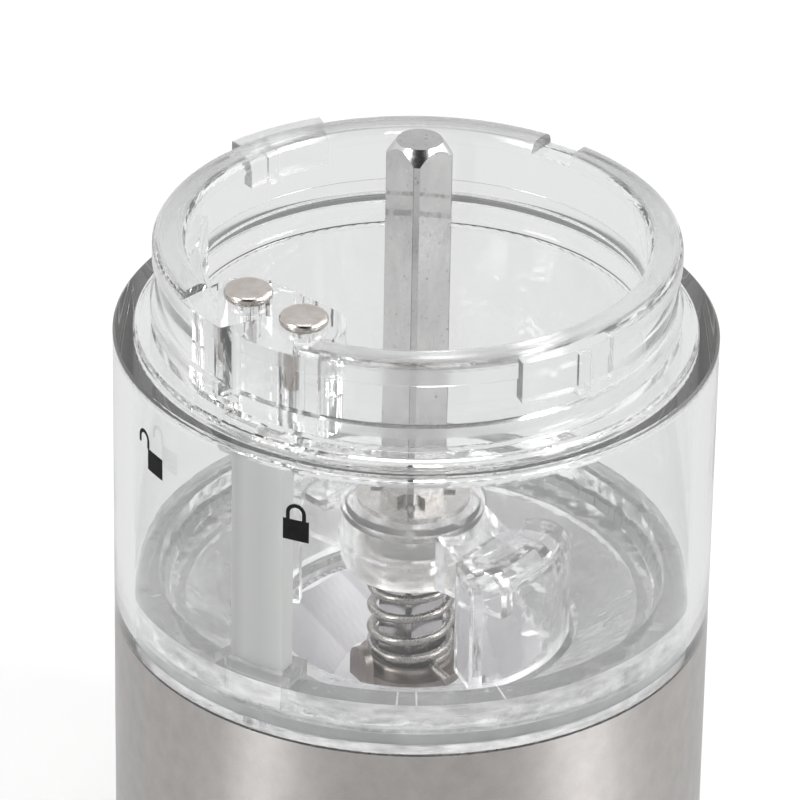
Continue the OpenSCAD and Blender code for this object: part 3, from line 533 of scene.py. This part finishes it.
def make_materials():
    refined("chamber", chamber_plastic("clear_chamber"))
    refined("funnel", funnel_plastic("clear_funnel"))
    refined("mill_bridge", bridge_plastic("clear_bridge"))
    dress(["steel_sleeve"], brushed_sleeve("brushed_sleeve"))
    dress(["drive_shaft"], drawn_bar("shaft_steel"))
    dress(
        ["contact_pin_left", "contact_pin_right"],
        metal("nickel", (0.47, 0.43, 0.40), (0.57, 0.53, 0.505), 500, 0.14, 0.26),
    )
    dress(
        ["retaining_washer", "spring_washer", "knob_washer"],
        metal("washer_steel", (0.60, 0.58, 0.56), (0.72, 0.70, 0.68), 400, 0.15, 0.3),
    )
    dress(
        ["stirrer"],
        metal("stirrer_steel", (0.24, 0.21, 0.19), (0.36, 0.32, 0.30), 350, 0.28, 0.45),
    )
    dress(
        ["base_screws", "retainer_screws"],
        metal("screw_steel", (0.55, 0.55, 0.55), (0.68, 0.68, 0.68), 500, 0.2, 0.35),
    )
    dress(["knob_nut"], metal("brass", (0.62, 0.44, 0.16), (0.74, 0.56, 0.26), 400, 0.2, 0.35))
    dress(
        ["outer_burr", "inner_burr"],
        moulded("ceramic", (0.86, 0.85, 0.87), (0.92, 0.91, 0.93), 300, 0.35, 0.5),
    )
    black, soot = (0.025, 0.025, 0.028), (0.04, 0.04, 0.044)
    dress(
        ["base_ring", "burr_retainer", "adjusting_knob"],
        moulded("black_plastic", black, soot, 300, 0.42, 0.6, grain=0.00008),
    )
    dress(["wire_channel"], satin_channel("frosted_plastic"))
    plain = [
        ("seal_ring", "silicone", (0.34, 0.345, 0.345), (0.44, 0.445, 0.445), 300, 0.5, 0.6),
        ("lead_left", "pale_insulation", (0.6, 0.6, 0.58), (0.68, 0.68, 0.66), 400, 0.4, 0.5),
        ("lead_right", "grey_insulation", (0.36, 0.36, 0.37), (0.44, 0.44, 0.45), 400, 0.4, 0.5),
        ("led_board", "circuit_board", (0.02, 0.16, 0.06), (0.03, 0.2, 0.08), 500, 0.3, 0.4),
        ("led_lamp", "lamp_lens", (0.85, 0.85, 0.78), (0.9, 0.9, 0.84), 300, 0.12, 0.2),
    ]
    for node, *look in plain:
        dress([node], moulded(*look))


# ---------- spring ----------

SPRING_R = 4.03 * MM
WIRE_R = 0.475 * MM
WIRE_SIDES = 14
# Turns from the wire's lower end, and the height of its middle there in mm
COIL_HEIGHTS = [(0.0, 31.36), (0.89, 31.98), (1.89, 34.15), (2.89, 36.9), (3.8, 39.0), (4.6, 39.92)]
COIL_TURNS = COIL_HEIGHTS[-1][0]
COIL_STEPS = 48
# The wire's lower end: the direction it bends out at, the bend's radius and steps, the length
# behind it, how far the bend sinks, and how far the end sinks below it
TAIL_TURN = math.radians(-49)
TAIL_BEND = 0.9 * MM
TAIL_STEPS = 6
TAIL_LENGTH = 1.9 * MM
TAIL_DROP = 0.35 * MM
TAIL_END_DROP = 0.3 * MM


def tube_mesh(name, path, radius, sides):
    """A round tube along a path, each ring square to it, with flat ends."""
    mesh = bmesh.new()
    rings = []
    for i, point in enumerate(path):
        before, after = path[max(i - 1, 0)], path[min(i + 1, len(path) - 1)]
        ahead = (after - before).normalized()
        side = Vector((0, 0, 1)).cross(ahead).normalized()
        top = ahead.cross(side)
        ring = []
        for k in range(sides):
            turn = 2 * math.pi * k / sides
            out = math.cos(turn) * side + math.sin(turn) * top
            ring.append(mesh.verts.new(point + radius * out))
        rings.append(ring)
    for one, two in zip(rings, rings[1:]):
        for k in range(sides):
            after = (k + 1) % sides
            mesh.faces.new((one[k], one[after], two[after], two[k]))
    mesh.faces.new(list(reversed(rings[0])))
    mesh.faces.new(rings[-1])
    bmesh.ops.recalc_face_normals(mesh, faces=mesh.faces)
    return mesh_data(name, mesh)


def coil_height(turn):
    """Height of the wire's middle, on a straight line between the measured turns."""
    for (t0, z0), (t1, z1) in zip(COIL_HEIGHTS, COIL_HEIGHTS[1:]):
        if turn <= t1:
            break
    return (z0 + (z1 - z0) * (turn - t0) / (t1 - t0)) * MM


def coil_point(turn):
    """A point of the wire's middle, its height eased over 3/16 of a turn to each side."""
    angle = 2 * math.pi * turn + TAIL_TURN
    near = [min(max(turn + step / 16, 0), COIL_TURNS) for step in range(-3, 4)]
    height = sum(coil_height(t) for t in near) / len(near)
    return Vector((SPRING_R * math.cos(angle), SPRING_R * math.sin(angle), height))


def make_spring():
    coil = [coil_point(i / COIL_STEPS) for i in range(int(COIL_TURNS * COIL_STEPS) + 1)]
    out = Vector((math.cos(TAIL_TURN), math.sin(TAIL_TURN), 0))
    back = Vector((math.sin(TAIL_TURN), -math.cos(TAIL_TURN), 0))
    start = coil[0]
    bent = start + TAIL_BEND * out + TAIL_BEND * back + Vector((0, 0, -TAIL_END_DROP))
    tail = [bent + TAIL_LENGTH * (out * 0.97 - back * 0.05)]
    for step in range(TAIL_STEPS, 0, -1):
        a = math.radians(90 / TAIL_STEPS * step)
        tail.append(start + TAIL_BEND * ((1 - math.cos(a)) * out + math.sin(a) * back))
    sunk = [Vector((0, 0, -TAIL_DROP * i / TAIL_STEPS)) for i in range(TAIL_STEPS, -1, -1)]
    path = [point + drop for point, drop in zip(tail, sunk)] + coil
    wire = metal("spring_wire", (0.38, 0.36, 0.345), (0.48, 0.46, 0.44), 900, 0.18, 0.32)
    data = tube_mesh("spring_wire", path, WIRE_R, WIRE_SIDES)
    spring = new_piece("spring_wire", data, wire, "shaft")
    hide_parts("spring")
    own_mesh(spring)


# ---------- signs ----------

# The heights of the ink's back and front over the wall
PRINT = (0.006 * MM, 0.03 * MM)
# The padlock signs: half the shackle's line, its radius, half the body's width, and the body's
# upper and lower edge below the shackle's top
SIGN_LINE = 0.2 * MM
SHACKLE_R = 0.84 * MM
BODY_HALF = 1.36 * MM
BODY_EDGES = (1.75 * MM, 4.05 * MM)
BODY_STEPS = 12
ARCH_STEPS = 16
# Each sign's direction in degrees, the height of its shackle's top from the shoulder, the
# shackle's shift to the side, and the length of its left leg
SIGNS = [
    ("sign_closed", -111.85, -4.42 * MM, 0.0, 0.85 * MM),
    ("sign_open", -146.9, -4.1 * MM, -2.14 * MM, 0.62 * MM),
]


def on_wall(angle, along, height, lift):
    """A point over the chamber's wall.

    It has a direction, a distance round the wall from it, a height from the shoulder and a lift.
    """
    turn = math.radians(angle) + along / BODY_R
    radius = BODY_R + lift
    return Vector((radius * math.cos(turn), radius * math.sin(turn), SHOULDER + height))


def printed(name, bands, angle, ink):
    """Thin ink on the wall. A band is two rows of (along, height) points that face each other."""
    mesh = bmesh.new()
    for one, two in bands:
        low, high = (
            [[mesh.verts.new(on_wall(angle, *p, lift)) for p in pair] for pair in zip(one, two)]
            for lift in PRINT
        )
        for (a, b), (c, d) in zip(low, low[1:]):
            mesh.faces.new((a, b, d, c))
        for (a, b), (c, d) in zip(high, high[1:]):
            mesh.faces.new((a, c, d, b))
        for i in range(len(low) - 1):
            for k in (0, 1):
                mesh.faces.new((low[i][k], low[i + 1][k], high[i + 1][k], high[i][k]))
        for i in (0, -1):
            mesh.faces.new((low[i][0], low[i][1], high[i][1], high[i][0]))
    bmesh.ops.recalc_face_normals(mesh, faces=mesh.faces)
    new_piece(name, mesh_data(name, mesh), ink, "housing")


def padlock(name, angle, top, shift, left_leg, ink):
    """A padlock sign: a body, and a shackle that is over it or beside it."""
    body_top, body_low = (top - edge for edge in BODY_EDGES)
    steps = [BODY_HALF * (i / (BODY_STEPS / 2) - 1) for i in range(BODY_STEPS + 1)]
    body = ([(x, body_low) for x in steps], [(x, body_top) for x in steps])
    arch = top - SHACKLE_R - SIGN_LINE
    line = [(-SHACKLE_R, arch - left_leg)]
    for i in range(ARCH_STEPS + 1):
        a = math.pi * (1 - i / ARCH_STEPS)
        line.append((SHACKLE_R * math.cos(a), arch + SHACKLE_R * math.sin(a)))
    line.append((SHACKLE_R, body_top - 0.05 * MM))
    inner, outer = [], []
    for i, (x, z) in enumerate(line):
        before, after = line[max(i - 1, 0)], line[min(i + 1, len(line) - 1)]
        ahead = Vector((after[0] - before[0], after[1] - before[1])).normalized()
        inner.append((x + shift + ahead.y * SIGN_LINE, z - ahead.x * SIGN_LINE))
        outer.append((x + shift - ahead.y * SIGN_LINE, z + ahead.x * SIGN_LINE))
    printed(name, [body, (inner, outer)], angle, ink)


def make_signs():
    dark, darker = (0.008, 0.008, 0.008), (0.004, 0.004, 0.004)
    ink = moulded(
        "black_ink", darker, dark, 900, 0.6, 0.75, grain=0.000002, Specular_IOR_Level=0.15
    )
    for sign in SIGNS:
        padlock(*sign, ink)


# ---------- stage and light ----------

# Direction of the dark place behind the camera, and how light the room is by the cosine to it,
# for rays that were mirrored, that went through clear plastic, and that come from the camera
DARK_PLACE = (0.0, -0.85, 0.53)
MIRROR_LEVELS = [(0.0, 0.95), (0.45, 0.92), (0.74, 0.6), (0.88, 0.25), (0.95, 0.04), (1.0, 0.02)]
CLEAR_LEVELS = [(0.0, 0.8), (0.4, 0.78), (0.7, 0.55), (0.9, 0.32), (1.0, 0.24)]
CAMERA_LEVELS = [(0.0, 1.0), (1.0, 1.0)]
# How light it is for all other rays
ROOM_LEVEL = 0.55
# The floor's own light for the camera, and its level for rays through clear plastic and for
# mirrored ones
FLOOR_HALF = 4
FLOOR_GLOW = 0.18
FLOOR_THROUGH = 0.8
FLOOR_MIRRORED = 0.72
# Tall light strips that only mirrored rays meet: direction, strength and half width in degrees.
# Each is at its full strength up to STRIP_CORE from its middle.
STRIPS = [
    ((-0.788, -0.616, 0.0), 14.0, 14),
    ((0.89, -0.456, 0.0), 13.5, 17),
    ((0.99, 0.139, 0.0), 3.2, 40),
]
STRIP_CORE = 4
# Elevations between which the strips end, degrees
STRIP_ENDS = (38, 55)
LAMPS_AIM = (0, 0, 0.05)
# A ray through chamber, funnel and bridge crosses up to this many skins
CLEAR_BOUNCES = 24


def make_floor():
    mesh = bpy.data.meshes.new("floor")
    corners = [(-1, -1), (1, -1), (1, 1), (-1, 1)]
    points = [(x * FLOOR_HALF, y * FLOOR_HALF, 0) for x, y in corners]
    mesh.from_pydata(points, [], [(0, 1, 2, 3)])
    floor = bpy.data.objects.new("floor", mesh)
    bpy.context.scene.collection.objects.link(floor)
    t = Look("floor_paper")
    t.set(Base_Color=(0.8, 0.8, 0.8, 1), Roughness=0.9)
    t.set(Normal=t.bump(t.noise(400), 0.1, 0.0001))
    paper = t.shader.outputs["BSDF"]
    lit = t.add("ShaderNodeAddShader", {0: paper, 1: t.glow(FLOOR_GLOW)}).outputs["Shader"]
    looks = [
        ("Is Camera Ray", lit),
        ("Is Glossy Ray", t.glow(FLOOR_MIRRORED)),
        ("Is Transmission Ray", t.glow(FLOOR_THROUGH)),
    ]
    t.show(t.by_ray(paper, looks))
    mesh.materials.append(t.mat)


def strip_light(t, direction):
    """1, and more in the directions of the tall strips, up to where they end."""
    flat = t.add("ShaderNodeVectorMath", {0: direction, 1: (1, 1, 0)}, operation="MULTIPLY")
    level_way = t.add("ShaderNodeVectorMath", {0: flat.outputs[0]}, operation="NORMALIZE")
    total = 0.0
    for aim, strength, half in STRIPS:
        near = t.cosine(level_way.outputs[0], aim)
        edge, core = math.cos(math.radians(half)), math.cos(math.radians(STRIP_CORE))
        total = t.plus(total, t.span(near, 1.0 / len(STRIPS), strength, edge, core))
    start, end = (math.sin(math.radians(angle)) for angle in STRIP_ENDS)
    return t.span(t.cosine(direction, (0, 0, 1)), total, 1.0, start, end)


def make_world():
    """White to the camera. Metal and glass see a pale room with a dark place behind the camera."""
    world = bpy.data.worlds.new("studio")
    bpy.context.scene.world = world
    world.use_nodes = True
    world.node_tree.nodes.clear()
    t = Tree(world.node_tree)
    direction = t.add("ShaderNodeTexCoord").outputs["Generated"]
    facing = t.cosine(direction, DARK_PLACE)

    def room(levels, strength=1.0):
        tone = t.ramp(facing, [(place, (level, level, level)) for place, level in levels])
        background = t.add("ShaderNodeBackground", {"Color": tone, "Strength": strength})
        return background.outputs["Background"]

    plain = t.add("ShaderNodeBackground", {"Color": (ROOM_LEVEL, ROOM_LEVEL, ROOM_LEVEL, 1)})
    looks = [
        ("Is Glossy Ray", room(MIRROR_LEVELS, strip_light(t, direction))),
        ("Is Transmission Ray", room(CLEAR_LEVELS)),
        ("Is Camera Ray", room(CAMERA_LEVELS)),
    ]
    shown = t.by_ray(plain.outputs["Background"], looks)
    t.add("ShaderNodeOutputWorld", {"Surface": shown})


def make_lamp(name, place, size, power):
    data = bpy.data.lights.new(name, "AREA")
    data.shape = "RECTANGLE"
    data.size, data.size_y = size
    data.energy = power
    lamp = bpy.data.objects.new(name, data)
    lamp.location = place
    lamp.rotation_euler = (Vector(LAMPS_AIM) - Vector(place)).to_track_quat("-Z", "Y").to_euler()
    bpy.context.scene.collection.objects.link(lamp)


def make_light():
    make_lamp("softbox_left", (-0.85, -0.53, 0.55), (0.28, 0.7), 3.4)
    make_lamp("softbox_right", (0.93, -0.37, 0.55), (0.32, 0.7), 4.2)
    make_lamp("softbox_top", (0.0, 0.2, 1.2), (0.6, 0.6), 4.8)


make_camera()
make_materials()
make_spring()
make_signs()
make_floor()
make_world()
make_light()
bpy.context.scene.view_settings.view_transform = "Standard"
cycles = bpy.context.scene.cycles
cycles.max_bounces = CLEAR_BOUNCES
cycles.transmission_bounces = CLEAR_BOUNCES
cycles.transparent_max_bounces = CLEAR_BOUNCES
cycles.glossy_bounces = 8
